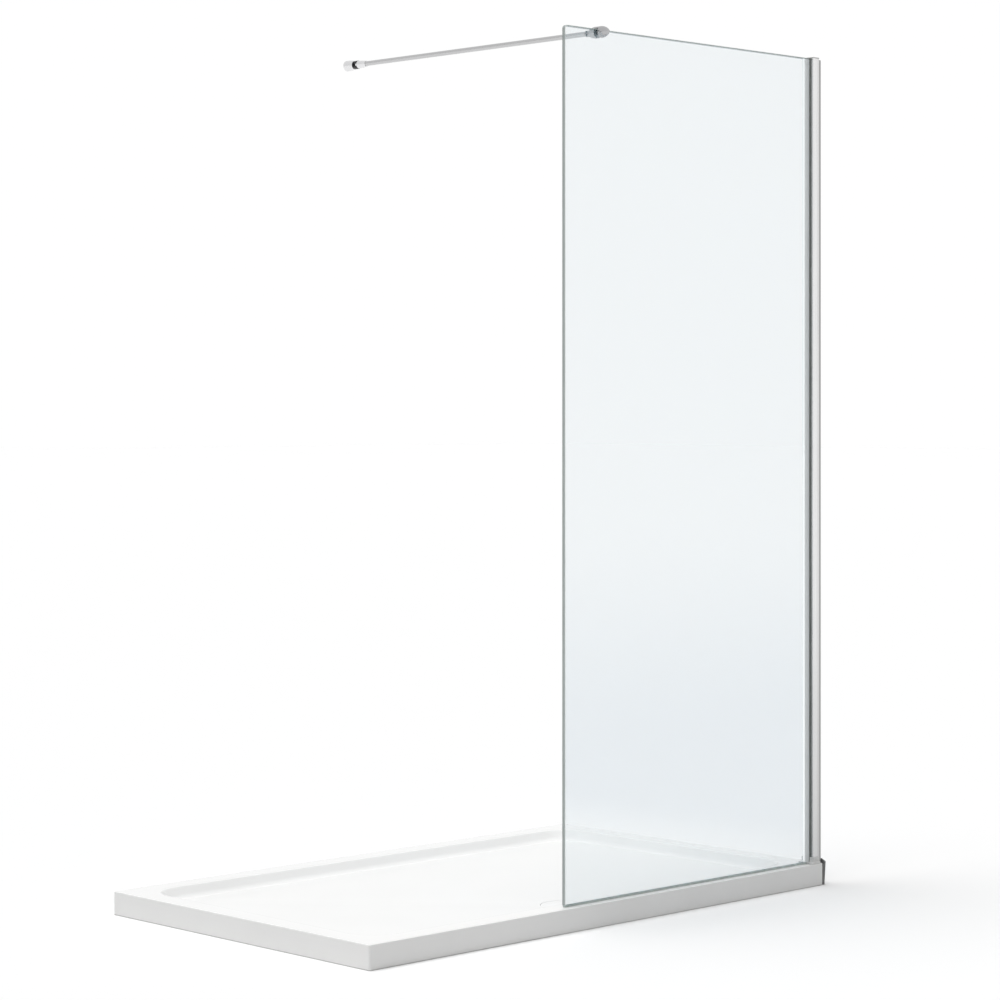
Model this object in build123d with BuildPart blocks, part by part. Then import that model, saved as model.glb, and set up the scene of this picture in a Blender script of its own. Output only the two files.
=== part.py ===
"""Walk-in shower screen: a glass panel in a wall profile, steadied by a support bar.

The screen stands on a low shower tray. Millimetres, +Z up. The origin is the middle
of the tray's underside. +X points to the wall that carries the profile, +Y to the
wall that carries the support bar, and the walk-in side is -X.
"""
import os
from math import pi

from build123d import *

os.makedirs("parts", exist_ok=True)

# Shower tray
tray_length = 1500.0
tray_width = 900.0
tray_height = 55.0
tray_corner_radius = 4.0
tray_edge_radius = 2.5
rim_width = 55.0
basin_depth = 24.0
basin_wall_run = 26.0
basin_corner_radius = 80.0
basin_top_radius = 8.0
basin_bottom_radius = 30.0
floor_border = 14.0
floor_fall = 7.0

# Waste in the tray
waste_x = 0.0
waste_from_basin_wall = 80.0
waste_pad_radius = 62.0
waste_pad_corner = 40.0
waste_bore_radius = 45.0
waste_bore_depth = 7.0
waste_throat_radius = 43.0
waste_rebate_radius = 58.0
waste_rebate_depth = 12.0
waste_ring_clearance = 1.0
waste_seal_thickness = 1.5
waste_flange_thickness = 2.5
waste_spigot_clearance = 0.5
waste_spigot_wall = 2.5
waste_spigot_length = 5.5
waste_cover_gap = 0.8
waste_cover_thickness = 3.5
waste_cover_edge_radius = 1.0
waste_foot_radius = 4.0
waste_foot_count = 3
strainer_clearance = 1.5
strainer_wall = 1.5
strainer_height = 7.0
strainer_clear_of_bore = 0.5
strainer_stem_radius = 3.0
strainer_hole_radius = 2.5
strainer_ring_count = 3
strainer_ring_pitch = 9.0
strainer_first_ring = 12.0
strainer_hole_pitch = 9.4

# End seal on the wall end of the tray, turned up behind the foot of the wall channel
seal_floor_gap = 1.0
seal_rim_drop = 4.0
seal_upturn_rise = 10.0
seal_upturn_front_rise = 2.5
seal_upturn_ramp = 7.0
seal_upturn_length = 45.0
seal_upturn_slope_drop = 7.5
seal_wall_board_gap = 4.0
seal_foot_thickness = 6.0
seal_top_thickness = 11.0

# Glass panel
glass_thickness = 10.0
glass_height = 1990.0
glass_width = 872.5
glass_front_setback = 17.0
glass_sill_gap = 4.0
glass_pocket_gap = 0.5
glass_free_corner_radius = 9.0
glass_wall_corner_radius = 20.0
glass_foot_corner_radius = 2.0
glass_arris = 1.0
sill_seal_clearance = 0.2
sill_seal_end_gap = 2.0

# Wall channel
channel_depth = 23.5
channel_width = 29.4
channel_base = 2.0
channel_wall = 1.6
channel_top_gap = 3.5
channel_hole_radius = 2.5
channel_hole_end = 100.0
channel_hole_count = 4
plug_length = 8.5
plug_height = 4.0

# Glass profile that slides over the wall channel
profile_depth = 23.3
profile_wall = 1.5
profile_running_gap = 0.8
profile_lip = 1.8
profile_return = 7.5
profile_return_wall = 1.0
profile_web = 1.5
profile_edge_radius = 1.2
profile_to_wall = 9.0
profile_top_margin = 1.0
gasket_thickness = 2.0
gasket_length = 9.3
gasket_proud = 0.5
gasket_flange_width = 7.0
gasket_flange_gap = 0.2
cap_thickness = 3.0
cap_edge_radius = 0.8
cap_peg_length = 8.0
cap_peg_clearance = 0.1
foot_clearance = 0.3
foot_flare_glass = 10.0
foot_flare_side = 4.0
foot_collar = 1.0
foot_collar_height = 16.0
foot_fillet = 2.8
foot_fit = 0.1
foot_level_band = 0.1
adjust_towards_wall = 6.0

# Side fixings of the glass profile, on the inner side of the screen
fixing_inset = 5.0
fixing_end = 160.0
fixing_count = 3
fixing_screw_radius = 2.0
fixing_screw_clearance = 0.15
fixing_head_radius = 3.8
fixing_head_height = 2.6
fixing_head_taper = 12.0
fixing_nut_length = 9.0
fixing_nut_height = 12.0
fixing_nut_thickness = 2.8
fixing_nut_gap = 0.3
fixing_slot_clearance = 0.4
screw_cap_radius = 5.5
screw_cap_height = 3.8
screw_cap_wall = 0.9

# Clamp that rides on the top edge of the glass
clamp_from_free_edge = 118.0
clamp_axis_drop = 6.0
clamp_radius = 13.5
clamp_tip_radius = 3.0
clamp_dome_length = 23.0
clamp_pad = 1.0
clamp_top_pad = 3.0
clamp_jaw_length = 8.0
clamp_rear_length = 18.0
clamp_rear_radius = 11.5
clamp_edge_radius = 0.8
clamp_liner_inset = 0.6
clamp_liner_drop = 10.0
grip_screw_radius = 1.5
grip_screw_fork_gap = 0.15
grip_screw_drop = 1.0
grip_screw_length = 14.0
thread_clearance = 0.05

# Swivel at the glass end of the bar
glass_fork_radius = 7.2
glass_fork_half_width = 6.5
glass_pivot_offset = 7.0
glass_tongue_radius = 5.5
glass_tongue_thickness = 4.4
plug_collar_length = 4.0
plug_spigot_length = 20.0
plug_spigot_clearance = 0.05

# Swivel at the wall end of the bar
wall_fork_radius = 10.4
wall_fork_half_width = 7.5
wall_pivot_offset = 8.0
wall_tongue_radius = 6.0
wall_tongue_thickness = 5.0
wall_root_length = 1.6
knuckle_spigot_radius = 5.0
knuckle_spigot_length = 6.0
socket_length = 28.0
socket_root_wall = 4.0
socket_mouth_wall = 1.5
socket_edge_radius = 0.45
socket_bore_depth = 20.0
socket_bar_clearance = 0.05
socket_bar_end_gap = 1.0
socket_screw_from_mouth = 10.0

# Shared by both swivels
swivel_pin_radius = 2.0
swivel_pin_running_gap = 0.05
swivel_pin_recess = 0.7
swivel_pin_chamfer = 0.3
swivel_side_gap = 0.15
swivel_face_gap = 0.5
swivel_root_gap = 0.4

# Support bar
bar_radius = 6.0
bar_wall = 1.2

# Wall bracket of the bar
flange_radius = 13.2
flange_shoulder = 7.0
flange_length = 29.0
flange_nose_radius = 10.6
flange_edge_radius = 1.0
flange_cavity_depth = 5.5
plate_radius = 10.0
plate_thickness = 5.0
plate_fit = 0.2
plate_hole_radius = 2.6
set_screw_radius = 2.0
set_screw_recess = 0.3

# Hexagon sockets of the headless screws
hex_socket_radius = 1.0
hex_socket_depth = 1.0

# Places worked out from the sizes above
front_y = -tray_width / 2
bar_wall_y = tray_width / 2
screen_wall_x = tray_length / 2
floor_edge_z = tray_height - basin_depth
floor_low_z = floor_edge_z - floor_fall
waste_y = front_y + rim_width + basin_wall_run + waste_from_basin_wall
waste_seat_z = floor_low_z - waste_rebate_depth
glass_front_y = front_y + glass_front_setback
glass_mid_y = glass_front_y + glass_thickness / 2
glass_bottom_z = tray_height + glass_sill_gap
glass_top_z = glass_bottom_z + glass_height
profile_width = channel_width + 2 * profile_running_gap + 2 * profile_wall
profile_wall_x = screen_wall_x - profile_to_wall
profile_glass_x = profile_wall_x - profile_depth
glass_wall_x = profile_glass_x + profile_lip + profile_return - glass_pocket_gap
glass_free_x = glass_wall_x - glass_width
profile_top_z = glass_top_z - profile_top_margin
channel_height = glass_top_z - channel_top_gap - tray_height
foot_base_height = glass_sill_gap - foot_clearance
fixing_x = profile_wall_x - fixing_inset
fixing_spacing = (glass_height - 2 * fixing_end) / (fixing_count - 1)
fixing_heights = [glass_bottom_z + fixing_end + i * fixing_spacing for i in range(fixing_count)]
clamp_x = glass_free_x + clamp_from_free_edge
clamp_z = glass_top_z - clamp_axis_drop
clamp_jaw_y = glass_thickness / 2 + clamp_pad
clamp_rear_y = glass_mid_y + clamp_jaw_y + clamp_rear_length
glass_pivot_y = clamp_rear_y + glass_pivot_offset
plug_face_offset = glass_fork_half_width + swivel_face_gap
bar_start_y = glass_pivot_y + plug_face_offset + plug_collar_length
socket_root_radius = bar_radius + socket_root_wall
socket_mouth_radius = bar_radius + socket_mouth_wall
wall_pivot_y = bar_wall_y - flange_length - wall_pivot_offset
socket_face_offset = wall_fork_half_width + swivel_face_gap
socket_root_y = wall_pivot_y - socket_face_offset
socket_mouth_y = socket_root_y - socket_length
bar_end_y = socket_mouth_y + socket_bore_depth - socket_bar_end_gap
flange_nose_y = bar_wall_y - flange_length

FROM_RIGHT = (Align.MAX, Align.CENTER)
FROM_LEFT = (Align.MIN, Align.CENTER)
TO_FRONT = (0, -1, 0)
TO_REAR = (0, 1, 0)


def upright(x, y, z, facing):
    """Upright plane at a point, its own X along +X, facing the front or the rear."""
    return Plane((x, y, z), x_dir=(1, 0, 0), z_dir=facing)


def fork_block(radius, half_width, pivot_offset, slot_gap, tongue_radius):
    """Round block along +Y from its root, with a level slot and a hole for an upright pin."""
    slot_start = pivot_offset - tongue_radius - swivel_root_gap
    with BuildPart() as block:
        with BuildSketch(Plane.XZ):
            Circle(radius)
        extrude(amount=-(pivot_offset + half_width))
        with BuildSketch(Plane.XY.offset(-radius)):
            Rectangle(2 * half_width, pivot_offset, align=(Align.CENTER, Align.MIN))
            with Locations((0, pivot_offset)):
                Circle(half_width)
        extrude(amount=2 * radius, mode=Mode.INTERSECT)
        with BuildSketch(Plane.XY.offset(-slot_gap / 2)):
            with Locations((0, slot_start)):
                Rectangle(4 * radius, 4 * radius, align=(Align.CENTER, Align.MIN))
        extrude(amount=slot_gap, mode=Mode.SUBTRACT)
        with Locations((0, pivot_offset, radius)):
            Hole(swivel_pin_radius)
    return block.part


def tongue_plate(tongue_radius, thickness, reach):
    """Flat tongue with its pin hole at the origin, reaching +Y."""
    with BuildPart() as plate:
        with BuildSketch(Plane.XY.offset(-thickness / 2)):
            Circle(tongue_radius)
            Rectangle(2 * tongue_radius, reach, align=(Align.CENTER, Align.MIN))
            Circle(swivel_pin_radius + swivel_pin_running_gap, mode=Mode.SUBTRACT)
        extrude(amount=thickness)
    return plate.part


def pivot_pin(x, y, z, fork_radius):
    """Upright pin of a swivel."""
    half_length = fork_radius - swivel_pin_recess
    with BuildPart() as pin:
        with BuildSketch(Plane((x, y, z - half_length))):
            Circle(swivel_pin_radius)
        extrude(amount=2 * half_length)
        chamfer(pin.edges().filter_by(GeomType.CIRCLE), swivel_pin_chamfer)
    return pin.part


# Shower tray: slab with a sunk basin whose floor falls to the waste
basin_top_length = tray_length - 2 * rim_width
basin_top_width = tray_width - 2 * rim_width
basin_floor_length = basin_top_length - 2 * basin_wall_run
basin_floor_width = basin_top_width - 2 * basin_wall_run
basin_floor_radius = basin_corner_radius - basin_wall_run
with BuildPart() as basin:
    with BuildSketch(Plane.XY.offset(tray_height)):
        RectangleRounded(basin_top_length, basin_top_width, basin_corner_radius)
    with BuildSketch(Plane.XY.offset(floor_edge_z)):
        RectangleRounded(basin_floor_length, basin_floor_width, basin_floor_radius)
    loft(ruled=True)
    fillet(basin.faces().sort_by(Axis.Z)[0].edges(), basin_bottom_radius)

# Falls of the basin floor, from a level border down to the pad round the waste
with BuildPart() as floor_falls:
    with BuildSketch(Plane.XY.offset(floor_edge_z)):
        RectangleRounded(
            basin_floor_length - 2 * floor_border,
            basin_floor_width - 2 * floor_border,
            basin_floor_radius - floor_border,
        )
    with BuildSketch(Plane((waste_x, waste_y, floor_low_z))):
        RectangleRounded(2 * waste_pad_radius, 2 * waste_pad_radius, waste_pad_corner)
    loft(ruled=True)

with BuildPart() as tray:
    with BuildSketch():
        Rectangle(tray_length, tray_width)
    extrude(amount=tray_height)
    fillet(tray.edges().filter_by(Axis.Z), tray_corner_radius)
    fillet(tray.faces().sort_by(Axis.Z)[-1].edges(), tray_edge_radius)
    add(basin.part, mode=Mode.SUBTRACT)
    add(floor_falls.part, mode=Mode.SUBTRACT)
    basin_brim = tray.faces().sort_by(Axis.Z)[-1].inner_wires()[0].edges()
    fillet(basin_brim, basin_top_radius)
    with Locations((waste_x, waste_y, floor_low_z)):
        CounterBoreHole(waste_throat_radius, waste_rebate_radius, waste_rebate_depth)
    with BuildSketch(Plane((waste_x, waste_y, 0))):
        Circle(waste_bore_radius)
    extrude(amount=waste_bore_depth, mode=Mode.SUBTRACT)
tray.part.label = "tray"
export_step(tray.part, "parts/tray.step")

# End seal: soft leaning strip bonded to the wall end, its upturn clear of the wall board
seal_strip_top_z = tray_height - seal_rim_drop
seal_upturn_top_z = tray_height + seal_upturn_rise
seal_lean = seal_top_thickness - seal_foot_thickness
with BuildPart() as end_seal:
    with BuildSketch(Plane((screen_wall_x, 0, 0), x_dir=(0, 1, 0), z_dir=(1, 0, 0))):
        with BuildLine():
            Polyline(
                (front_y, seal_floor_gap),
                (front_y, tray_height + seal_upturn_front_rise),
                (front_y + seal_upturn_ramp, seal_upturn_top_z),
                (front_y + seal_upturn_length, seal_upturn_top_z),
                (front_y + seal_upturn_length, seal_strip_top_z),
                (bar_wall_y, seal_strip_top_z),
                (bar_wall_y, seal_floor_gap),
                close=True,
            )
        make_face()
    extrude(amount=seal_top_thickness)
    lean_normal = (seal_upturn_top_z, 0, -seal_lean)
    lean_plane = Plane((screen_wall_x + seal_foot_thickness, 0, 0), x_dir=(0, 1, 0), z_dir=lean_normal)
    split(bisect_by=lean_plane, keep=Keep.BOTTOM)
    with BuildSketch(Plane((screen_wall_x, front_y, seal_strip_top_z))):
        Rectangle(seal_wall_board_gap, seal_upturn_length, align=(Align.MIN, Align.MIN))
    extrude(amount=seal_upturn_top_z, mode=Mode.SUBTRACT)
    slope_start = (screen_wall_x + seal_wall_board_gap, front_y, seal_upturn_top_z)
    slope_run = seal_top_thickness - seal_wall_board_gap
    with BuildSketch(Plane(slope_start, x_dir=(1, 0, 0), z_dir=TO_REAR)):
        with BuildLine():
            Polyline((0, 0), (slope_run, 0), (slope_run, seal_upturn_slope_drop), close=True)
        make_face()
    extrude(amount=seal_upturn_length, mode=Mode.SUBTRACT)
end_seal.part.label = "end_seal"
export_step(end_seal.part, "parts/end_seal.step")

# Waste seal: flat ring between the tray and the waste flange
waste_ring_radius = waste_rebate_radius - waste_ring_clearance
with BuildPart() as waste_seal:
    with BuildSketch(Plane((waste_x, waste_y, waste_seat_z))):
        Circle(waste_ring_radius)
        Circle(waste_throat_radius, mode=Mode.SUBTRACT)
    extrude(amount=waste_seal_thickness)
waste_seal.part.label = "waste_seal"
export_step(waste_seal.part, "parts/waste_seal.step")

# Waste flange: ring in the rebate with a short spigot into the throat
flange_low_z = waste_seat_z + waste_seal_thickness
waste_flange_top_z = flange_low_z + waste_flange_thickness
spigot_outer_radius = waste_throat_radius - waste_spigot_clearance
spigot_inner_radius = spigot_outer_radius - waste_spigot_wall
with BuildPart() as waste_flange:
    with BuildSketch(Plane((waste_x, waste_y, flange_low_z))):
        Circle(waste_ring_radius)
        Circle(spigot_inner_radius, mode=Mode.SUBTRACT)
    extrude(amount=waste_flange_thickness)
    with BuildSketch(Plane((waste_x, waste_y, flange_low_z))):
        Circle(spigot_outer_radius)
        Circle(spigot_inner_radius, mode=Mode.SUBTRACT)
    extrude(amount=-waste_spigot_length)
waste_flange.part.label = "waste_flange"
export_step(waste_flange.part, "parts/waste_flange.step")

# Waste cover: disc level with the floor, on three feet
cover_radius = waste_rebate_radius - waste_cover_gap
cover_low_z = floor_low_z - waste_cover_thickness
foot_circle_radius = (waste_ring_radius + spigot_inner_radius) / 2
with BuildPart() as waste_cover:
    with BuildSketch(Plane((waste_x, waste_y, cover_low_z))):
        Circle(cover_radius)
    extrude(amount=waste_cover_thickness)
    fillet(waste_cover.edges().group_by(Axis.Z)[-1], waste_cover_edge_radius)
    with BuildSketch(Plane((waste_x, waste_y, waste_flange_top_z))):
        with PolarLocations(foot_circle_radius, waste_foot_count):
            Circle(waste_foot_radius)
    extrude(amount=cover_low_z - waste_flange_top_z)
waste_cover.part.label = "waste_cover"
export_step(waste_cover.part, "parts/waste_cover.step")

# Hair strainer: perforated cup on a stem clipped under the cover
strainer_radius = spigot_inner_radius - strainer_clearance
strainer_low_z = waste_bore_depth + strainer_clear_of_bore
with BuildPart() as hair_strainer:
    with BuildSketch(Plane((waste_x, waste_y, strainer_low_z))):
        Circle(strainer_radius)
    extrude(amount=strainer_height)
    with BuildSketch(Plane((waste_x, waste_y, strainer_low_z + strainer_wall))):
        Circle(strainer_radius - strainer_wall)
    extrude(amount=strainer_height, mode=Mode.SUBTRACT)
    for i in range(strainer_ring_count):
        ring_radius = strainer_first_ring + i * strainer_ring_pitch
        hole_count = round(2 * pi * ring_radius / strainer_hole_pitch)
        with BuildSketch(Plane((waste_x, waste_y, strainer_low_z))):
            with PolarLocations(ring_radius, hole_count):
                Circle(strainer_hole_radius)
        extrude(amount=strainer_wall, mode=Mode.SUBTRACT)
    with BuildSketch(Plane((waste_x, waste_y, strainer_low_z))):
        Circle(strainer_stem_radius)
    extrude(amount=cover_low_z - strainer_low_z)
hair_strainer.part.label = "hair_strainer"
export_step(hair_strainer.part, "parts/hair_strainer.step")

# Wall channel: U section screwed to the wall, open towards the glass
channel_spacing = (channel_height - 2 * channel_hole_end) / (channel_hole_count - 1)
channel_inner_width = channel_width - 2 * channel_wall
slot_reach = channel_depth - (screen_wall_x - fixing_x) + adjust_towards_wall
slot_half_height = fixing_screw_radius + fixing_slot_clearance
with BuildPart() as wall_channel:
    with BuildSketch(Plane((screen_wall_x, glass_mid_y, tray_height))):
        Rectangle(channel_depth, channel_width, align=FROM_RIGHT)
        with Locations((-channel_base, 0)):
            Rectangle(channel_depth, channel_inner_width, align=FROM_RIGHT, mode=Mode.SUBTRACT)
    extrude(amount=channel_height)
    for i in range(channel_hole_count):
        hole_z = tray_height + channel_hole_end + i * channel_spacing
        with BuildSketch(Plane((screen_wall_x - channel_base, glass_mid_y, hole_z), z_dir=(1, 0, 0))):
            Circle(channel_hole_radius)
        extrude(amount=channel_base, mode=Mode.SUBTRACT)
    for height in fixing_heights:
        with BuildSketch(upright(screen_wall_x - channel_depth, glass_mid_y, height, TO_FRONT)):
            Rectangle(slot_reach, 2 * slot_half_height, align=FROM_LEFT)
            with Locations((slot_reach, 0)):
                Circle(slot_half_height)
        extrude(amount=-channel_width, mode=Mode.SUBTRACT)
wall_channel.part.label = "wall_channel"
export_step(wall_channel.part, "parts/wall_channel.step")

# Plug that closes the top of the wall channel beside the glass
with BuildPart() as channel_plug:
    plug_x = screen_wall_x - channel_base
    with BuildSketch(Plane((plug_x, glass_mid_y, tray_height + channel_height))):
        Rectangle(plug_length, channel_inner_width, align=FROM_RIGHT)
    extrude(amount=-plug_height)
channel_plug.part.label = "channel_plug"
export_step(channel_plug.part, "parts/channel_plug.step")

# Glass panel with rounded top corners and arrissed edges
with BuildPart() as glass_panel:
    with BuildSketch(upright(glass_free_x, glass_front_y, glass_bottom_z, TO_FRONT)) as glass_outline:
        Rectangle(glass_width, glass_height, align=(Align.MIN, Align.MIN))
        fillet(glass_outline.vertices().group_by(Axis.Y)[0], glass_foot_corner_radius)
        fillet(glass_outline.vertices().group_by(Axis.Y)[-1].sort_by(Axis.X)[0], glass_free_corner_radius)
        fillet(glass_outline.vertices().group_by(Axis.Y)[-1].sort_by(Axis.X)[-1], glass_wall_corner_radius)
    extrude(amount=-glass_thickness)
    chamfer(glass_panel.faces().filter_by(Axis.Y).edges(), glass_arris)
glass_panel.part.label = "glass_panel"
export_step(glass_panel.part, "parts/glass_panel.step")

# Glass profile: box section open to the wall, with lips and returns that hold the gaskets
profile_bottom_z = tray_height + foot_clearance + foot_base_height
profile_height = profile_top_z - profile_bottom_z
gasket_slot = glass_thickness + 2 * gasket_thickness
gasket_flange_low_z = tray_height + foot_clearance + foot_collar_height + gasket_flange_gap
with BuildPart() as glass_profile:
    with BuildSketch(Plane((profile_wall_x, glass_mid_y, profile_bottom_z))) as profile_section:
        Rectangle(profile_depth, profile_width, align=FROM_RIGHT)
        fillet(profile_section.vertices().group_by(Axis.X)[0], profile_edge_radius)
        Rectangle(
            profile_depth - profile_lip,
            profile_width - 2 * profile_wall,
            align=FROM_RIGHT,
            mode=Mode.SUBTRACT,
        )
        with Locations((profile_lip - profile_depth, 0)):
            Rectangle(
                profile_return + profile_web, gasket_slot + 2 * profile_return_wall, align=FROM_LEFT
            )
        with Locations((-profile_depth, 0)):
            Rectangle(profile_lip + profile_return, gasket_slot, align=FROM_LEFT, mode=Mode.SUBTRACT)
    extrude(amount=profile_height)
    for height in fixing_heights:
        with BuildSketch(upright(fixing_x, glass_mid_y, height, TO_FRONT)):
            Circle(fixing_screw_radius + fixing_screw_clearance)
        extrude(amount=-profile_width, mode=Mode.SUBTRACT)
glass_profile.part.label = "glass_profile"
export_step(glass_profile.part, "parts/glass_profile.step")


def gasket_strip(side):
    """Strip between the glass and the profile on one side, with a flange over the profile's lip."""
    strip_y = glass_mid_y + side * (glass_thickness + gasket_thickness) / 2
    flange_y = glass_mid_y + side * (glass_thickness + gasket_flange_width) / 2
    with BuildPart() as strip:
        with BuildSketch(Plane((profile_glass_x - gasket_proud, strip_y, profile_bottom_z))):
            Rectangle(gasket_length + gasket_proud, gasket_thickness, align=FROM_LEFT)
        extrude(amount=profile_height)
        with BuildSketch(Plane((profile_glass_x, flange_y, gasket_flange_low_z))):
            Rectangle(gasket_proud, gasket_flange_width, align=FROM_RIGHT)
        extrude(amount=profile_top_z - gasket_flange_low_z)
    return strip


# Glazing gaskets in front of and behind the glass
front_gasket = gasket_strip(-1)
front_gasket.part.label = "front_gasket"
export_step(front_gasket.part, "parts/front_gasket.step")
rear_gasket = gasket_strip(1)
rear_gasket.part.label = "rear_gasket"
export_step(rear_gasket.part, "parts/rear_gasket.step")

# Cap on top of the glass profile, with two pegs into its side pockets
peg_width = channel_inner_width / 2 - gasket_slot / 2 - profile_return_wall - 2 * cap_peg_clearance
peg_y = gasket_slot / 2 + profile_return_wall + cap_peg_clearance + peg_width / 2
with BuildPart() as profile_cap:
    with BuildSketch(Plane((profile_wall_x, glass_mid_y, profile_top_z))) as cap_outline:
        Rectangle(profile_depth, profile_width, align=FROM_RIGHT)
        fillet(cap_outline.vertices().group_by(Axis.X)[0], profile_edge_radius)
    extrude(amount=cap_thickness)
    fillet(profile_cap.edges().group_by(Axis.Z)[-1], cap_edge_radius)
    peg_x = profile_glass_x + profile_lip + cap_peg_clearance
    with BuildSketch(Plane((peg_x, glass_mid_y, profile_top_z))):
        with Locations((0, -peg_y), (0, peg_y)):
            Rectangle(profile_return, peg_width, align=FROM_LEFT)
    extrude(amount=-cap_peg_length)
profile_cap.part.label = "profile_cap"
export_step(profile_cap.part, "parts/profile_cap.step")

# Foot of the glass profile: flared shoe that carries the corner of the glass
foot_bottom_z = tray_height + foot_clearance
foot_inner_depth = profile_depth + foot_fit
foot_inner_width = profile_width + 2 * foot_fit
foot_cut = channel_depth - profile_to_wall + adjust_towards_wall + foot_clearance
collar_half_width = foot_inner_width / 2 + foot_collar
collar_glass_x = profile_wall_x - foot_inner_depth - foot_collar


def meets_collar(point):
    """True where an edge of the shoe's base lies at the root of its collar."""
    beside = abs(point.Y - glass_mid_y) < collar_half_width + foot_clearance
    return beside and collar_glass_x - foot_clearance < point.X < profile_wall_x - foot_clearance


with BuildPart() as profile_foot:
    with BuildSketch(Plane((profile_wall_x, glass_mid_y, foot_bottom_z))):
        Rectangle(profile_depth + foot_flare_glass, profile_width + 2 * foot_flare_side, align=FROM_RIGHT)
    extrude(amount=foot_base_height)
    with BuildSketch(Plane((profile_wall_x, glass_mid_y, foot_bottom_z))):
        Rectangle(foot_inner_depth + foot_collar, foot_inner_width + 2 * foot_collar, align=FROM_RIGHT)
    extrude(amount=foot_collar_height)
    collar_root_z = foot_bottom_z + foot_base_height
    root_band = (collar_root_z - foot_level_band, collar_root_z + foot_level_band)
    collar_root = profile_foot.edges().filter_by_position(Axis.Z, *root_band)
    collar_root = collar_root.filter_by(lambda edge: meets_collar(edge.center()))
    fillet(collar_root, foot_fillet)
    with BuildSketch(Plane((profile_wall_x, glass_mid_y, collar_root_z))):
        Rectangle(foot_inner_depth, foot_inner_width, align=FROM_RIGHT)
    extrude(amount=foot_collar_height, mode=Mode.SUBTRACT)
    with BuildSketch(Plane((profile_wall_x, glass_mid_y, collar_root_z))):
        Rectangle(2 * profile_depth, gasket_slot + 2 * foot_fit, align=FROM_RIGHT)
    extrude(amount=foot_collar_height, mode=Mode.SUBTRACT)
    with BuildSketch(Plane((profile_wall_x, glass_mid_y, foot_bottom_z))):
        Rectangle(foot_cut, channel_width + 2 * foot_clearance, align=FROM_RIGHT)
    extrude(amount=foot_base_height, mode=Mode.SUBTRACT)
profile_foot.part.label = "profile_foot"
export_step(profile_foot.part, "parts/profile_foot.step")

# Sill seal under the glass
with BuildPart() as sill_seal:
    seal_x = glass_free_x + sill_seal_end_gap
    seal_length = profile_glass_x - foot_flare_glass - seal_x
    with BuildSketch(Plane((seal_x, glass_mid_y, glass_bottom_z))):
        Rectangle(seal_length, glass_thickness - 2 * glass_arris, align=FROM_LEFT)
    extrude(amount=sill_seal_clearance - glass_sill_gap)
sill_seal.part.label = "sill_seal"
export_step(sill_seal.part, "parts/sill_seal.step")

# Side screws: pan heads outside the profile, tips in the plates inside the channel
profile_side_y = profile_width / 2
nut_inner_y = channel_inner_width / 2 - fixing_nut_gap - fixing_nut_thickness
with BuildPart() as side_screws:
    for height in fixing_heights:
        screw_plane = upright(fixing_x, glass_mid_y + profile_side_y, height, TO_REAR)
        with BuildSketch(screw_plane):
            Circle(fixing_head_radius)
        extrude(amount=fixing_head_height, taper=fixing_head_taper)
        with BuildSketch(screw_plane):
            Circle(fixing_screw_radius)
        extrude(amount=nut_inner_y - profile_side_y)
side_screws.part.label = "side_screws"
export_step(side_screws.part, "parts/side_screws.step")

# Threaded plates behind the channel's flange that the side screws draw tight
with BuildPart() as side_plates:
    for height in fixing_heights:
        with BuildSketch(upright(fixing_x, glass_mid_y + nut_inner_y, height, TO_REAR)):
            Rectangle(fixing_nut_length, fixing_nut_height)
            Circle(fixing_screw_radius + thread_clearance, mode=Mode.SUBTRACT)
        extrude(amount=fixing_nut_thickness)
side_plates.part.label = "side_plates"
export_step(side_plates.part, "parts/side_plates.step")

# Snap caps over the heads of the side screws
with BuildPart() as screw_caps:
    for height in fixing_heights:
        cap_plane = upright(fixing_x, glass_mid_y + profile_side_y, height, TO_REAR)
        with BuildSketch(cap_plane):
            Circle(screw_cap_radius)
        extrude(amount=screw_cap_height)
        outer_rims = screw_caps.edges().filter_by(GeomType.CIRCLE).group_by(Axis.Y)[-1]
        fillet(outer_rims.sort_by(Axis.Z)[-1], screw_cap_wall)
        with BuildSketch(cap_plane):
            Circle(screw_cap_radius - screw_cap_wall)
        extrude(amount=screw_cap_height - screw_cap_wall, mode=Mode.SUBTRACT)
screw_caps.part.label = "screw_caps"
export_step(screw_caps.part, "parts/screw_caps.step")

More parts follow.
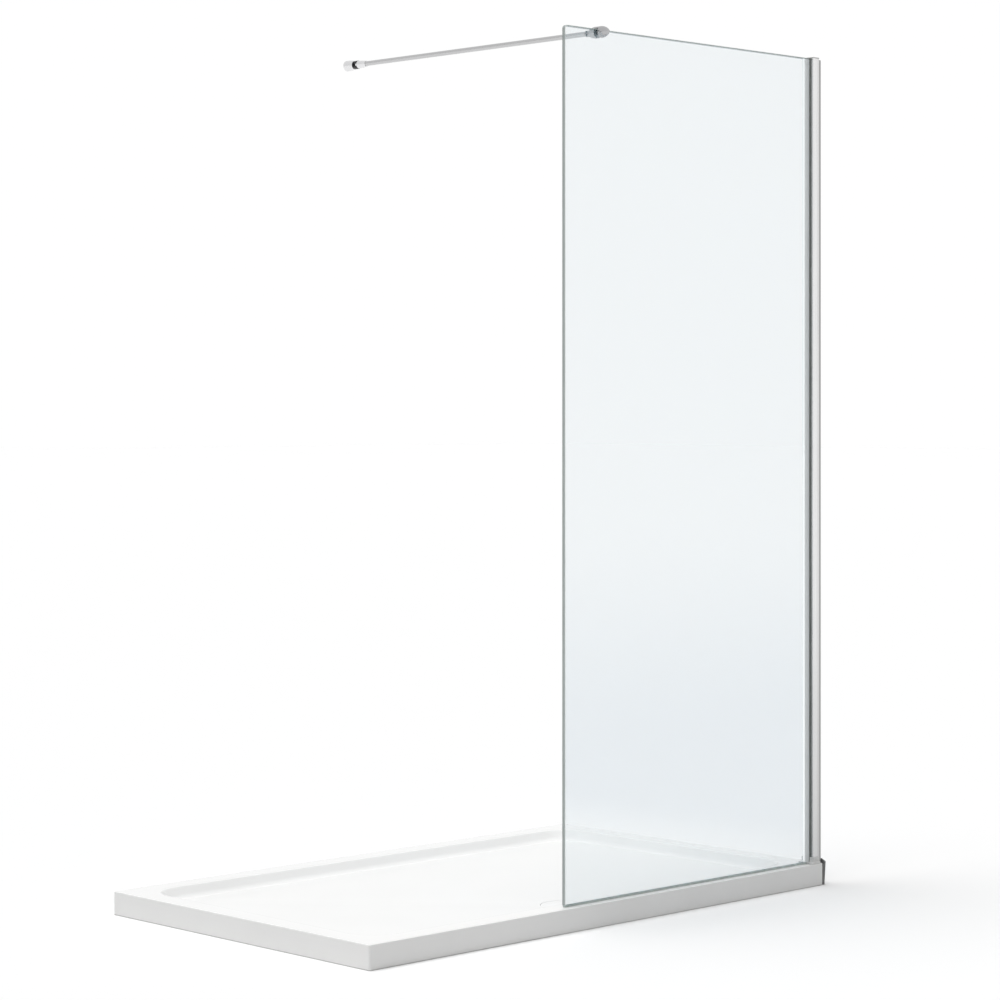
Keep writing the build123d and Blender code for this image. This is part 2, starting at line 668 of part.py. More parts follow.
# Clamp body: domed round block slotted from below, with a fork for the bar behind it
clamp_plane = Plane((clamp_x, glass_mid_y, clamp_z), x_dir=(0, 1, 0), z_dir=(1, 0, 0))
clamp_axis = Axis((clamp_x, glass_mid_y, clamp_z), (0, 1, 0))
clamp_rear = clamp_jaw_y + clamp_rear_length
grip_screw_offset_x = glass_fork_half_width + grip_screw_fork_gap + thread_clearance + grip_screw_radius
slot_top_z = glass_top_z + clamp_top_pad
glass_fork_slot = glass_tongue_thickness + 2 * swivel_side_gap
with BuildPart() as clamp_body:
    with BuildSketch(clamp_plane):
        with BuildLine():
            tip = (-clamp_jaw_y - clamp_dome_length, clamp_tip_radius)
            TangentArc((-clamp_jaw_y, clamp_radius), tip, tangent=(-1, 0))
            Polyline(
                tip,
                (tip[0], 0),
                (clamp_rear, 0),
                (clamp_rear, clamp_rear_radius),
                (clamp_jaw_y + clamp_jaw_length, clamp_radius),
                (-clamp_jaw_y, clamp_radius),
            )
        make_face()
    revolve(axis=clamp_axis)
    fillet(clamp_body.edges().filter_by(GeomType.CIRCLE).group_by(Axis.Y)[-1], clamp_edge_radius)
    fillet(clamp_body.edges().filter_by(GeomType.CIRCLE).group_by(Axis.Y)[0], clamp_edge_radius)
    with BuildSketch(Plane((clamp_x, glass_mid_y, slot_top_z))):
        Rectangle(4 * clamp_radius, 2 * clamp_jaw_y)
    extrude(amount=-4 * clamp_radius, mode=Mode.SUBTRACT)
    for side in (-1, 1):
        screw_x = clamp_x + side * grip_screw_offset_x
        with BuildSketch(upright(screw_x, clamp_rear_y, clamp_z - grip_screw_drop, TO_FRONT)):
            Circle(grip_screw_radius + thread_clearance)
        extrude(amount=clamp_rear_length, mode=Mode.SUBTRACT)
    glass_fork = fork_block(
        glass_fork_radius, glass_fork_half_width, glass_pivot_offset, glass_fork_slot, glass_tongue_radius
    )
    add(glass_fork.moved(Location((clamp_x, clamp_rear_y, clamp_z))))
clamp_body.part.label = "clamp_body"
export_step(clamp_body.part, "parts/clamp_body.step")

# Clamp liner: soft round channel between the jaws and the glass
with BuildPart() as clamp_liner:
    with BuildSketch(Plane((clamp_x, glass_mid_y, slot_top_z))):
        Rectangle(2 * clamp_radius, 2 * clamp_jaw_y)
    extrude(amount=-(clamp_top_pad + clamp_liner_drop))
    with BuildSketch(upright(clamp_x, glass_mid_y + clamp_jaw_y, clamp_z, TO_FRONT)):
        Circle(clamp_radius - clamp_liner_inset)
    extrude(amount=2 * clamp_jaw_y, mode=Mode.INTERSECT)
    with BuildSketch(Plane((clamp_x, glass_mid_y, glass_top_z))):
        Rectangle(3 * clamp_radius, glass_thickness)
    extrude(amount=-2 * clamp_liner_drop, mode=Mode.SUBTRACT)
clamp_liner.part.label = "clamp_liner"
export_step(clamp_liner.part, "parts/clamp_liner.step")

# Grip screws of the clamp: headless, pressing on the liner from the inner side
with BuildPart() as grip_screws:
    for side in (-1, 1):
        screw_x = clamp_x + side * grip_screw_offset_x
        screw_seat = upright(screw_x, glass_mid_y + clamp_jaw_y, clamp_z - grip_screw_drop, TO_REAR)
        with BuildSketch(screw_seat):
            Circle(grip_screw_radius)
        extrude(amount=grip_screw_length)
        with BuildSketch(screw_seat.offset(grip_screw_length)):
            RegularPolygon(hex_socket_radius, 6)
        extrude(amount=-hex_socket_depth, mode=Mode.SUBTRACT)
grip_screws.part.label = "grip_screws"
export_step(grip_screws.part, "parts/grip_screws.step")

# Pivot pin at the glass end
with BuildPart() as glass_pivot_pin:
    add(pivot_pin(clamp_x, glass_pivot_y, clamp_z, glass_fork_radius))
glass_pivot_pin.part.label = "glass_pivot_pin"
export_step(glass_pivot_pin.part, "parts/glass_pivot_pin.step")

# Bar end plug: tongue, collar and spigot pressed into the bar
bar_bore_radius = bar_radius - bar_wall
with BuildPart() as bar_end_plug:
    glass_tongue = tongue_plate(glass_tongue_radius, glass_tongue_thickness, plug_face_offset)
    add(glass_tongue.moved(Location((clamp_x, glass_pivot_y, clamp_z))))
    collar_plane = upright(clamp_x, glass_pivot_y + plug_face_offset, clamp_z, TO_REAR)
    with BuildSketch(collar_plane):
        Circle(glass_fork_radius)
    extrude(amount=plug_collar_length)
    with BuildSketch(collar_plane):
        Circle(bar_bore_radius - plug_spigot_clearance)
    extrude(amount=plug_collar_length + plug_spigot_length)
bar_end_plug.part.label = "bar_end_plug"
export_step(bar_end_plug.part, "parts/bar_end_plug.step")

# Support bar: round tube from the glass to the wall
with BuildPart() as support_bar:
    with BuildSketch(upright(clamp_x, bar_start_y, clamp_z, TO_REAR)):
        Circle(bar_radius)
        Circle(bar_bore_radius, mode=Mode.SUBTRACT)
    extrude(amount=bar_end_y - bar_start_y)
support_bar.part.label = "support_bar"
export_step(support_bar.part, "parts/support_bar.step")

# Wall socket: tapered sleeve over the end of the bar, with a tongue for the swivel
socket_screw_y = socket_mouth_y + socket_screw_from_mouth
with BuildPart() as wall_socket:
    with BuildSketch(upright(clamp_x, socket_root_y, clamp_z, TO_FRONT)):
        Circle(socket_root_radius)
    with BuildSketch(upright(clamp_x, socket_mouth_y, clamp_z, TO_FRONT)):
        Circle(socket_mouth_radius)
    loft()
    socket_rims = wall_socket.edges().filter_by(GeomType.CIRCLE)
    fillet(socket_rims, socket_edge_radius)
    with BuildSketch(upright(clamp_x, socket_mouth_y, clamp_z, TO_FRONT)):
        Circle(bar_radius + socket_bar_clearance)
    extrude(amount=-socket_bore_depth, mode=Mode.SUBTRACT)
    wall_tongue = tongue_plate(wall_tongue_radius, wall_tongue_thickness, socket_face_offset)
    add(wall_tongue.moved(Location((clamp_x, wall_pivot_y, clamp_z), (0, 0, 180))))
    with BuildSketch(Plane((clamp_x, socket_screw_y, clamp_z - socket_root_radius))):
        Circle(set_screw_radius + thread_clearance)
    extrude(amount=socket_root_radius, mode=Mode.SUBTRACT)
wall_socket.part.label = "wall_socket"
export_step(wall_socket.part, "parts/wall_socket.step")

# Set screw that holds the bar in the wall socket
socket_slope = (socket_root_radius - socket_mouth_radius) / socket_length
socket_radius_at_screw = socket_mouth_radius + socket_slope * socket_screw_from_mouth
socket_screw_length = socket_radius_at_screw - set_screw_recess - bar_radius
socket_screw_low_z = clamp_z - bar_radius - socket_screw_length
with BuildPart() as socket_set_screw:
    with BuildSketch(Plane((clamp_x, socket_screw_y, clamp_z - bar_radius))):
        Circle(set_screw_radius)
    extrude(amount=-socket_screw_length)
    with BuildSketch(Plane((clamp_x, socket_screw_y, socket_screw_low_z))):
        RegularPolygon(hex_socket_radius, 6)
    extrude(amount=hex_socket_depth, mode=Mode.SUBTRACT)
socket_set_screw.part.label = "socket_set_screw"
export_step(socket_set_screw.part, "parts/socket_set_screw.step")

# Wall knuckle: dark fork on the nose of the wall flange
wall_fork_slot = wall_tongue_thickness + 2 * swivel_side_gap
with BuildPart() as wall_knuckle:
    wall_fork = fork_block(
        wall_fork_radius, wall_fork_half_width, wall_pivot_offset, wall_fork_slot, wall_tongue_radius
    )
    add(wall_fork.moved(Location((clamp_x, flange_nose_y, clamp_z), (0, 0, 180))))
    with BuildSketch(upright(clamp_x, flange_nose_y, clamp_z, TO_FRONT)):
        Circle(wall_fork_radius)
    extrude(amount=wall_root_length)
    with BuildSketch(upright(clamp_x, flange_nose_y, clamp_z, TO_REAR)):
        Circle(knuckle_spigot_radius)
    extrude(amount=knuckle_spigot_length)
wall_knuckle.part.label = "wall_knuckle"
export_step(wall_knuckle.part, "parts/wall_knuckle.step")

# Pivot pin at the wall end
with BuildPart() as wall_pivot_pin:
    add(pivot_pin(clamp_x, wall_pivot_y, clamp_z, wall_fork_radius))
wall_pivot_pin.part.label = "wall_pivot_pin"
export_step(wall_pivot_pin.part, "parts/wall_pivot_pin.step")

# Wall flange: barrel that covers the fixing plate and carries the knuckle
flange_plane = Plane((clamp_x, bar_wall_y, clamp_z), x_dir=(0, -1, 0), z_dir=(-1, 0, 0))
set_screw_y = bar_wall_y - plate_thickness / 2
with BuildPart() as wall_flange:
    with BuildSketch(flange_plane):
        with BuildLine():
            nose = (flange_length, flange_nose_radius)
            TangentArc((flange_shoulder, flange_radius), nose, tangent=(1, 0))
            Polyline(nose, (flange_length, 0), (0, 0), (0, flange_radius), (flange_shoulder, flange_radius))
        make_face()
    revolve(axis=Axis((clamp_x, bar_wall_y, clamp_z), (0, 1, 0)))
    fillet(wall_flange.edges().filter_by(GeomType.CIRCLE).group_by(Axis.Y)[0], flange_edge_radius)
    with BuildSketch(upright(clamp_x, bar_wall_y, clamp_z, TO_FRONT)):
        Circle(plate_radius + plate_fit)
    extrude(amount=flange_cavity_depth, mode=Mode.SUBTRACT)
    with BuildSketch(upright(clamp_x, flange_nose_y, clamp_z, TO_REAR)):
        Circle(knuckle_spigot_radius + thread_clearance)
    extrude(amount=knuckle_spigot_length + plate_fit, mode=Mode.SUBTRACT)
    with BuildSketch(Plane((clamp_x, set_screw_y, clamp_z - flange_radius))):
        Circle(set_screw_radius + thread_clearance)
    extrude(amount=flange_radius, mode=Mode.SUBTRACT)
wall_flange.part.label = "wall_flange"
export_step(wall_flange.part, "parts/wall_flange.step")

# Fixing plate: disc screwed to the wall inside the flange
with BuildPart() as fixing_plate:
    with BuildSketch(upright(clamp_x, bar_wall_y, clamp_z, TO_FRONT)):
        Circle(plate_radius)
        Circle(plate_hole_radius, mode=Mode.SUBTRACT)
    extrude(amount=plate_thickness)
fixing_plate.part.label = "fixing_plate"
export_step(fixing_plate.part, "parts/fixing_plate.step")

# Set screw that locks the flange on its plate
flange_screw_length = flange_radius - set_screw_recess - plate_radius
with BuildPart() as flange_set_screw:
    with BuildSketch(Plane((clamp_x, set_screw_y, clamp_z - plate_radius))):
        Circle(set_screw_radius)
    extrude(amount=-flange_screw_length)
    with BuildSketch(Plane((clamp_x, set_screw_y, clamp_z - plate_radius - flange_screw_length))):
        RegularPolygon(hex_socket_radius, 6)
    extrude(amount=hex_socket_depth, mode=Mode.SUBTRACT)
flange_set_screw.part.label = "flange_set_screw"
export_step(flange_set_screw.part, "parts/flange_set_screw.step")
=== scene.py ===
"""Studio picture of a walk-in shower screen on its low tray."""
import math

import bmesh
import bpy
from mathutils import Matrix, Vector


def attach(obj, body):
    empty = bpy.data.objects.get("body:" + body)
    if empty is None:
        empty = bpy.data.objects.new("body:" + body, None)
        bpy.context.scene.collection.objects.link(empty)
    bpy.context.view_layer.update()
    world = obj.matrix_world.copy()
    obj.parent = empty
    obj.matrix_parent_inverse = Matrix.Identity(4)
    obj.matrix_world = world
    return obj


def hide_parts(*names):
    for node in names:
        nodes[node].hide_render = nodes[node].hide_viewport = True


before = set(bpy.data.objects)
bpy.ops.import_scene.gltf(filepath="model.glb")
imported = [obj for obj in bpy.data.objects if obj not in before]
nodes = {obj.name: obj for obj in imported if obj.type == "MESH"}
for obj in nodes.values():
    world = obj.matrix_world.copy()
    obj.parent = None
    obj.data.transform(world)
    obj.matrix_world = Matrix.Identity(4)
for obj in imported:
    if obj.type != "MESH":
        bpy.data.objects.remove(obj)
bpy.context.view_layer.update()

MM = 0.001
scene = bpy.context.scene


# Shader maths

# Stretch of a pattern along X, Y and Z
EVEN = (1, 1, 1)
ALONG_Z = (1, 1, 0.004)
ALONG_Y = (1, 0.004, 1)
ROUND_Y = (0.3, 1, 0.3)
UPRIGHT_STREAKS = (1, 1, 0.05)
UPRIGHT_LINES = (1, 1, 0.02)
UPRIGHT_MARKS = (1, 1, 0.3)

# Layers of finer and finer patches in a pattern
SMOOTH, PLAIN, RICH = 1.0, 2.0, 3.0


class Value:
    """What comes out of a shader node. Arithmetic on it adds Math nodes."""

    def __init__(self, finish, socket):
        self.finish = finish
        self.socket = socket

    def maths(self, operation, *terms):
        return self.finish.node("ShaderNodeMath", {"operation": operation}, *terms)

    def __add__(self, other):
        return self.maths("ADD", self, other)

    def __sub__(self, other):
        return self.maths("SUBTRACT", self, other)

    def __rsub__(self, other):
        return self.maths("SUBTRACT", other, self)

    def __mul__(self, other):
        return self.maths("MULTIPLY", self, other)

    def __pow__(self, other):
        return self.maths("POWER", self, other)

    __radd__ = __add__
    __rmul__ = __mul__

    def step(self, low, high):
        """0 below low, 1 above high, smooth between them."""
        settings = {"interpolation_type": "SMOOTHSTEP"}
        return self.finish.node("ShaderNodeMapRange", settings, self, low, high)


class Shading:
    """Nodes of a material or of the studio's surroundings."""

    def __init__(self, owner):
        owner.use_nodes = True
        self.tree = owner.node_tree

    def node(self, kind, settings, *values, output=None, **named):
        """Adds a node, fills its sockets in order or by name, and gives one of its outputs."""
        made = self.tree.nodes.new(kind)
        for key, value in settings.items():
            setattr(made, key, value)
        shown = [socket for socket in made.inputs if socket.enabled]
        pairs = list(zip(shown, values))
        pairs += [(made.inputs[key], value) for key, value in named.items()]
        for socket, value in pairs:
            if isinstance(value, Value):
                self.tree.links.new(value.socket, socket)
            else:
                socket.default_value = value
        given = [socket for socket in made.outputs if socket.enabled]
        return Value(self, next(socket for socket in given if output in (None, socket.name)))

    def mix(self, factor, first, second):
        """Blend of two colours."""
        return self.node("ShaderNodeMix", {"data_type": "RGBA"}, factor, first, second)

    def show(self, shader):
        """Uses this shader for the surface."""
        output = next(node for node in self.tree.nodes if node.type.startswith("OUTPUT"))
        self.tree.links.new(shader.socket, output.inputs["Surface"])


class Finish(Shading):
    """A material: its shader's own constants, and the nodes that vary over the surface."""

    def __init__(self, name, **constants):
        self.material = bpy.data.materials.new(name)
        super().__init__(self.material)
        self.shader = self.tree.nodes["Principled BSDF"]
        for words, value in constants.items():
            socket = words.replace("_", " ").title().replace("Ior", "IOR")
            self.shader.inputs[socket].default_value = value

    def place(self, stretch=EVEN):
        """Place on the piece in metres, stretched along its axes."""
        coordinates = self.node("ShaderNodeTexCoord", {}, output="Object")
        return self.node("ShaderNodeMapping", {}, Vector=coordinates, Scale=stretch)

    def along(self, axis):
        """One coordinate of the place, in metres."""
        coordinates = self.node("ShaderNodeTexCoord", {}, output="Object")
        return self.node("ShaderNodeSeparateXYZ", {}, coordinates, output=axis)

    def noise(self, size, detail=PLAIN, stretch=EVEN):
        """Cloudy pattern from 0 to 1 whose patches measure about size metres."""
        place = self.place(stretch)
        return self.node("ShaderNodeTexNoise", {}, Vector=place, Scale=1 / size, Detail=detail)

    def feed(self, words, value):
        self.tree.links.new(value.socket, self.shader.inputs[words])

    def bump(self, height, depth):
        """Height field of the given depth in metres."""
        bumped = self.node("ShaderNodeBump", {}, Height=height, Distance=depth)
        self.feed("Normal", bumped)


# Finishes


def grey(level):
    return (level, level, level)


BLACK = grey(0)


def opaque(tone, share=1.0):
    """Shader colour for a tone, or for a darker share of it."""
    return tuple(share * channel for channel in tone) + (1,)


def white_acrylic(name, tone, roughness):
    """Cast white surface: faint clouds in the colour, polish that varies, a long soft ripple, and a
    painted contact shadow along its foot.
    """
    cloud_size, speck_size, ripple_size = 220.0 * MM, 1.6 * MM, 18.0 * MM
    cloud_share, cloud_low, cloud_high = 0.975, 0.35, 0.7
    painted_shadow_tone, painted_shadow_low, painted_shadow_high = (0.52, 0.52, 0.51), 0.5 * MM, 3.0 * MM
    cloud_polish, speck_polish, best_polish = 0.08, 0.05, roughness - 0.06
    ripple_part, speck_part, ripple_depth = 0.8, 0.2, 0.04 * MM

    finish = Finish(name, ior=1.49, coat_weight=0.3, coat_roughness=0.08)
    clouds = finish.noise(cloud_size, RICH)
    specks = finish.noise(speck_size, SMOOTH)
    in_cloud = clouds.step(cloud_low, cloud_high)
    surface = finish.mix(in_cloud, opaque(tone), opaque(tone, cloud_share))
    # Painted contact shadow: the colour turns to a grey tone in the lowest 3 mm above the floor.
    above_painted_shadow = finish.along("Z").step(painted_shadow_low, painted_shadow_high)
    finish.feed("Base Color", finish.mix(above_painted_shadow, opaque(painted_shadow_tone), surface))
    finish.feed("Roughness", clouds * cloud_polish + specks * speck_polish + best_polish)
    ripple = finish.noise(ripple_size)
    finish.bump(ripple * ripple_part + specks * speck_part, ripple_depth)
    return finish.material


def drawn_metal(name, tone, roughness, drawn=EVEN, shade=None):
    """Metal with fine draw lines along its length, a slightly uneven polish, and an optional painted
    shade.
    """
    line_size, cloud_size = 0.9 * MM, 50.0 * MM
    line_share, line_low, line_high = 0.9, 0.3, 0.75
    line_polish, cloud_polish, best_polish = 0.1, 0.06, roughness - 0.08
    line_depth = 0.015 * MM

    finish = Finish(name, metallic=1.0)
    lines = finish.noise(line_size, stretch=drawn)
    clouds = finish.noise(cloud_size)
    in_line = lines.step(line_low, line_high)
    colour = finish.mix(in_line, opaque(tone), opaque(tone, line_share))
    # Painted shade: where the shade mask rises, the colour is blended towards black.
    if shade:
        colour = finish.mix(shade(finish), colour, opaque(BLACK))
    finish.feed("Base Color", colour)
    finish.feed("Roughness", lines * line_polish + clouds * cloud_polish + best_polish)
    finish.bump(lines, line_depth)
    return finish.material


def profile_painted_shade(finish):
    """Painted shade: darker towards the tray and beside the wall."""
    darkest_height, brightest_height, low_shade = -100.0 * MM, 900.0 * MM, 0.28
    wall_side_start, wall_side_end, wall_side_shade = 728.0 * MM, 742.0 * MM, 0.16
    low = 1 - finish.along("Z").step(darkest_height, brightest_height)
    beside_wall = finish.along("X").step(wall_side_start, wall_side_end)
    return low * low_shade + beside_wall * wall_side_shade


def moulded_plastic(name, tone, roughness, grain=0.6 * MM):
    """Moulded plastic with a fine spark-eroded grain."""
    cloud_size, cloud_share = 20.0 * MM, 0.92
    grain_polish, best_polish, grain_depth = 0.15, roughness - 0.07, 0.03 * MM

    finish = Finish(name, ior=1.47)
    pits = finish.noise(grain, RICH)
    clouds = finish.noise(cloud_size)
    finish.feed("Base Color", finish.mix(clouds, opaque(tone), opaque(tone, cloud_share)))
    finish.feed("Roughness", pits * grain_polish + best_polish)
    finish.bump(pits, grain_depth)
    return finish.material


def soft_rubber(name, tone, sheen):
    """Matt rubber with a dusty bloom and extrusion lines."""
    line_size, bloom_size = 1.2 * MM, 12.0 * MM
    bloom_share, bloom_lift, bloom_low, bloom_high = 1.25, 0.01, 0.4, 0.8
    bloom_polish, line_polish, best_polish = 0.2, 0.1, 0.45
    line_part, bloom_part, line_depth = 0.6, 0.4, 0.03 * MM

    finish = Finish(name, ior=1.5, sheen_weight=sheen, sheen_roughness=0.5)
    lines = finish.noise(line_size, stretch=UPRIGHT_LINES)
    bloom = finish.noise(bloom_size, RICH)
    dusty = tuple(min(1.0, bloom_share * channel + bloom_lift) for channel in tone)
    in_bloom = bloom.step(bloom_low, bloom_high)
    finish.feed("Base Color", finish.mix(in_bloom, opaque(tone), opaque(dusty)))
    finish.feed("Roughness", bloom * bloom_polish + lines * line_polish + best_polish)
    finish.bump(lines * line_part + bloom * bloom_part, line_depth)
    return finish.material


def clear_glass():
    """Float glass with painted reflection and shade: bluer low down, a dark line below its top edge, a
    bright patch beside the profile.
    """
    face_tone, mark_tone = (0.55, 0.82, 0.95), (0.59, 0.86, 0.98)
    painted_reflection_tone, painted_line_tone, painted_light_tone = (0.34, 0.62, 0.82), (0.16, 0.2, 0.2), (0.92, 0.96, 0.97)
    mark_size, mark_polish = 60.0 * MM, 0.04
    low_slope, low_start, low_full = 0.2, 190.0 * MM, 300.0 * MM
    low_fade, low_end = 400.0 * MM, 950.0 * MM
    line_start, line_full = 2045.5 * MM, 2047.0 * MM
    front_edge, rear_edge = -430.0 * MM, -426.0 * MM
    strip_start, strip_full = 691.0 * MM, 692.5 * MM
    mirror_fade, mirror_end = 699.0 * MM, 701.0 * MM
    face_cover, slant_cover, slant_power = 0.09, 0.5, 4.0
    painted_reflection_cover, painted_line_cover, painted_light_cover = 0.035, 0.5, 0.84

    finish = Finish("clear_glass", ior=1.15, specular_ior_level=1.0)
    marks = finish.noise(mark_size, RICH, UPRIGHT_MARKS)
    height = finish.along("Z")
    # Painted reflection of darker surroundings: the pane turns bluer and more opaque in a band low
    # down.
    above_tray = height + finish.along("X") * low_slope
    painted_low_reflection = above_tray.step(low_start, low_full) * (1 - height.step(low_fade, low_end))
    # Painted shade: the faces just below the top edge turn dark and more opaque, a dark line standing
    # in for the edge seen through the glass.
    painted_top_line = height.step(line_start, line_full)
    front_half = 1 - finish.along("Y").step(front_edge, rear_edge)
    # Painted light: a pale, nearly opaque strip on the front face beside the profile, mirror-like over
    # its first few millimetres, covers the shade of the glass pocket.
    painted_light_strip = finish.along("X").step(strip_start, strip_full) * front_half
    mirror = painted_light_strip * (1 - finish.along("X").step(mirror_fade, mirror_end))
    face = finish.mix(marks, opaque(face_tone), opaque(mark_tone))
    face = finish.mix(painted_low_reflection, face, opaque(painted_reflection_tone))
    face = finish.mix(painted_light_strip, face, opaque(painted_light_tone))
    finish.feed("Base Color", finish.mix(painted_top_line, face, opaque(painted_line_tone)))
    finish.feed("Metallic", mirror)
    finish.feed("Roughness", marks * mark_polish)
    slant = finish.node("ShaderNodeLayerWeight", {}, output="Facing")
    cover = slant**slant_power * slant_cover + face_cover
    painted_bands = painted_low_reflection * painted_reflection_cover + painted_top_line * painted_line_cover + painted_light_strip * painted_light_cover
    finish.feed("Alpha", cover + painted_bands)
    return finish.material


def glass_edge():
    """Ground and polished edge, green with the depth of the pane behind it."""
    dark_tone, light_tone = (0.29, 0.33, 0.32), (0.37, 0.41, 0.4)
    streak_size, streak_polish, best_polish = 4.0 * MM, 0.2, 0.1

    finish = Finish("glass_edge", alpha=0.92, ior=1.52)
    streaks = finish.noise(streak_size, stretch=UPRIGHT_STREAKS)
    finish.feed("Base Color", finish.mix(streaks, opaque(dark_tone), opaque(light_tone)))
    finish.feed("Roughness", streaks * streak_polish + best_polish)
    return finish.material


def glass_arris():
    """Frosted line where the edge of the glass is broken."""
    dark_tone, light_tone = (0.55, 0.62, 0.6), (0.75, 0.8, 0.78)
    grit_size, grit_polish, best_polish = 0.8 * MM, 0.3, 0.35

    finish = Finish("glass_arris", alpha=0.75, ior=1.52)
    grit = finish.noise(grit_size)
    finish.feed("Base Color", finish.mix(grit, opaque(dark_tone), opaque(light_tone)))
    finish.feed("Roughness", grit * grit_polish + best_polish)
    return finish.material


tray_finish = white_acrylic("tray_white", (0.89, 0.89, 0.883), roughness=0.2)
cover_finish = white_acrylic("cover_white", (0.885, 0.885, 0.88), roughness=0.24)
profile_finish = drawn_metal("profile_aluminium", grey(0.86), 0.24, ALONG_Z, profile_painted_shade)
# Painted shade: the channel's aluminium is much darker than the profile's, for the shade on the
# set-back channel.
channel_painted_shade_finish = drawn_metal("channel_aluminium_painted_shade", grey(0.36), 0.34, ALONG_Z)
# Painted light and shade in the chrome tones: the turned flange and socket are painted lighter than the
# bar, the clamp darker, to copy how bright each looks under the studio.
bar_finish = drawn_metal("bar_chrome", (0.6, 0.6, 0.605), 0.16, ALONG_Y)
clamp_painted_shade_finish = drawn_metal("clamp_chrome_painted_shade", (0.5, 0.5, 0.51), 0.24, ROUND_Y)
turned_painted_light_finish = drawn_metal("turned_chrome_painted_light", (0.84, 0.84, 0.85), 0.16, ROUND_Y)
steel_finish = drawn_metal("screw_steel", grey(0.58), roughness=0.3)
waste_finish = drawn_metal("waste_steel", grey(0.62), roughness=0.3)
trim_finish = moulded_plastic("trim_grey", (0.6, 0.6, 0.59), roughness=0.35)
foot_finish = moulded_plastic("foot_grey", (0.76, 0.76, 0.75), roughness=0.3)
strainer_finish = moulded_plastic("strainer_grey", (0.3, 0.31, 0.32), roughness=0.4)
knuckle_finish = moulded_plastic("knuckle_black", (0.03, 0.03, 0.032), 0.35, grain=0.5 * MM)
gasket_finish = soft_rubber("gasket_grey", (0.14, 0.15, 0.145), sheen=0.1)
# Painted light: the rear gasket is painted pale to lift the shade it lies in inside the glass pocket.
lit_gasket_finish = soft_rubber("gasket_pale_painted_light", (0.8, 0.85, 0.83), sheen=0.1)
sill_finish = soft_rubber("sill_grey", (0.55, 0.61, 0.59), sheen=0.1)
seal_finish = soft_rubber("seal_dark", grey(0.15), sheen=0.15)

NODE_FINISHES = {
    tray_finish: ("tray",),
    cover_finish: ("waste_cover",),
    profile_finish: ("glass_profile",),
    channel_painted_shade_finish: ("wall_channel",),
    bar_finish: ("support_bar",),
    clamp_painted_shade_finish: ("clamp_body", "bar_end_plug"),
    turned_painted_light_finish: ("wall_socket", "wall_flange"),
    steel_finish: (
        "side_screws",
        "side_plates",
        "grip_screws",
        "glass_pivot_pin",
        "wall_pivot_pin",
        "socket_set_screw",
        "flange_set_screw",
        "fixing_plate",
    ),
    waste_finish: ("waste_flange",),
    trim_finish: ("channel_plug", "profile_cap", "screw_caps"),
    foot_finish: ("profile_foot",),
    strainer_finish: ("hair_strainer",),
    knuckle_finish: ("wall_knuckle",),
    gasket_finish: ("front_gasket",),
    lit_gasket_finish: ("rear_gasket",),
    sill_finish: ("sill_seal",),
    seal_finish: ("end_seal", "waste_seal", "clamp_liner"),
}
for finish, names in NODE_FINISHES.items():
    for name in names:
        mesh = nodes[name].data
        mesh.materials.clear()
        mesh.materials.append(finish)


# Pieces


def smooth_copy(node, name):
    """Copy of a node with its corners merged and its rounds shaded smooth."""
    same_corner, sharp_angle = 0.002 * MM, math.radians(30.0)
    mesh = nodes[node].data.copy()
    mesh.name = name
    work = bmesh.new()
    work.from_mesh(mesh)
    bmesh.ops.remove_doubles(work, verts=work.verts, dist=same_corner)
    work.to_mesh(mesh)
    work.free()
    if "custom_normal" in mesh.attributes:
        mesh.attributes.remove(mesh.attributes["custom_normal"])
    mesh.shade_smooth()
    mesh.set_sharp_from_angle(angle=sharp_angle)
    piece = bpy.data.objects.new(name, mesh)
    scene.collection.objects.link(piece)
    return piece


def glass_pane():
    """The pane: clear faces and underside, ground edges and a frosted arris between them."""
    clear, edge, arris = range(3)
    face_on, slanted, downwards = 0.95, 0.3, -0.5
    pane = smooth_copy("glass_panel", "glass_pane")
    mesh = pane.data
    mesh.materials.clear()
    for finish in (clear_glass(), glass_edge(), glass_arris()):
        mesh.materials.append(finish)
    for face in mesh.polygons:
        across = abs(face.normal.y)
        if across > face_on or face.normal.z < downwards:
            face.material_index = clear
        elif across > slanted:
            face.material_index = arris
        else:
            face.material_index = edge
    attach(pane, "glazed_panel")
    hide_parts("glass_panel")


glass_pane()


# Studio


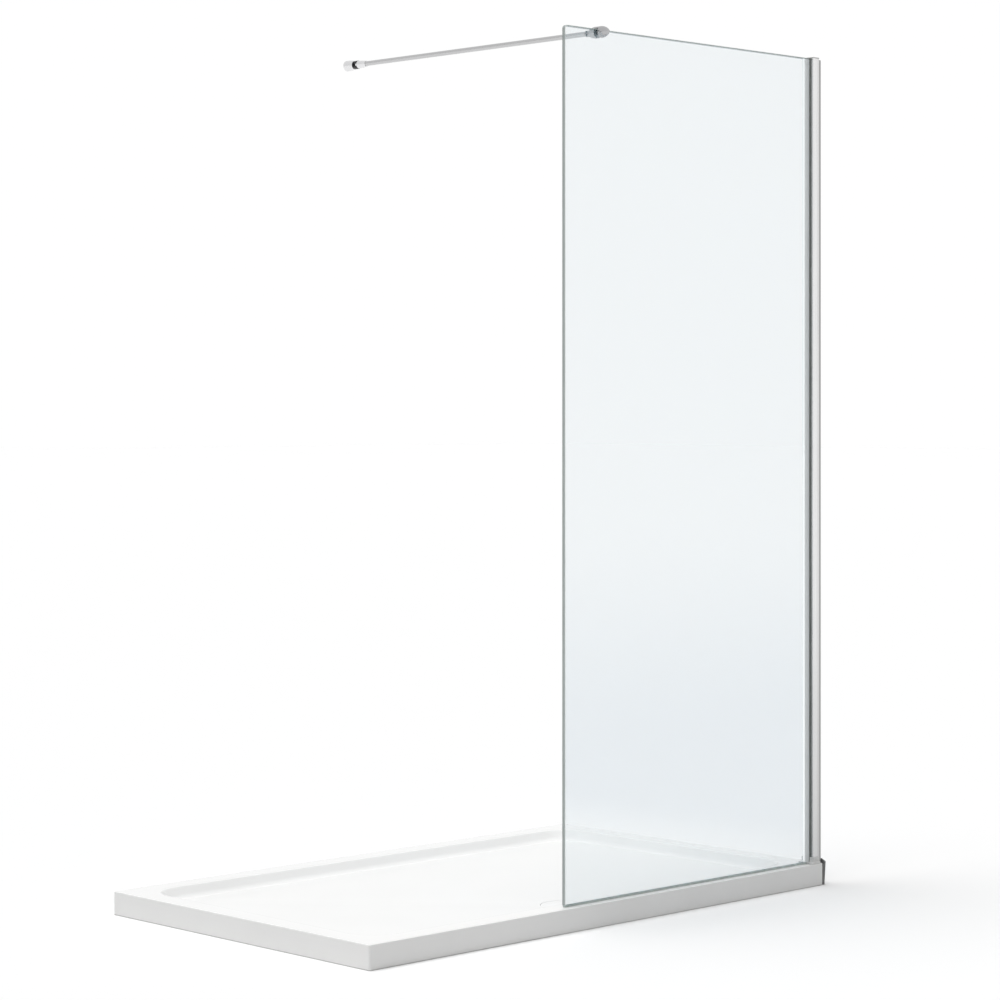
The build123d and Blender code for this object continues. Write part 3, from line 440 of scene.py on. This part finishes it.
def plain_floor():
    """Wide pale floor just under the tray."""
    half, level = 60.0, -0.1 * MM
    corners = [(-half, -half), (half, -half), (half, half), (-half, half)]
    mesh = bpy.data.meshes.new("floor")
    mesh.from_pydata([corner + (level,) for corner in corners], [], [(0, 1, 2, 3)])
    finish = Finish("floor_white", base_color=opaque(grey(0.9)), roughness=0.9)
    mesh.materials.append(finish.material)
    floor = bpy.data.objects.new("floor", mesh)
    scene.collection.objects.link(floor)


def broad_lamp(name, towards, spread, strength):
    """Soft even light from far off, coming from one direction, not mirrored in what it lights."""
    lamp = bpy.data.lights.new(name, "SUN")
    lamp.angle = math.radians(spread)
    lamp.energy = strength
    stand = bpy.data.objects.new(name, lamp)
    stand.rotation_euler = (-Vector(towards)).to_track_quat("-Z", "Y").to_euler()
    stand.visible_glossy = False
    scene.collection.objects.link(stand)


def studio_walls():
    """White as seen, dim as a light, and brighter on one side as mirrored."""
    seen_white, light, mirrored_middle, mirrored_slope = 1.003, 0.12, 0.9, 0.08
    bright_side = (0.7, -0.7, 0)
    world = bpy.data.worlds.new("studio")
    scene.world = world
    studio = Shading(world)
    seen = studio.node("ShaderNodeLightPath", {}, output="Is Camera Ray")
    mirrored = studio.node("ShaderNodeLightPath", {}, output="Is Glossy Ray")
    heading = studio.node("ShaderNodeTexCoord", {}, output="Generated")
    product = {"operation": "DOT_PRODUCT"}
    towards = studio.node("ShaderNodeVectorMath", product, heading, bright_side)
    in_mirror = towards * mirrored_slope + mirrored_middle
    unseen = mirrored * in_mirror + (1 - mirrored) * light
    strength = seen * seen_white + (1 - seen) * unseen
    backdrop = studio.node("ShaderNodeBackground", {}, Color=opaque(grey(1)), Strength=strength)
    studio.show(backdrop)


def photo_camera():
    """Level camera at the height, distance and heading of the photograph."""
    lens = bpy.data.cameras.new("camera")
    lens.sensor_width = 36.0
    lens.lens = 99.25
    lens.shift_y = -0.0929
    lens.clip_end = 200.0
    camera = bpy.data.objects.new("camera", lens)
    camera.location = (-4.592, -4.791, 1.185)
    camera.rotation_euler = (math.radians(90.0), 0, math.radians(-44.22))
    scene.collection.objects.link(camera)
    scene.camera = camera


plain_floor()
studio_walls()
broad_lamp("top_lamp", towards=(-0.16, 0.07, 0.98), spread=50.0, strength=3.2)
photo_camera()
scene.view_settings.view_transform = "Standard"
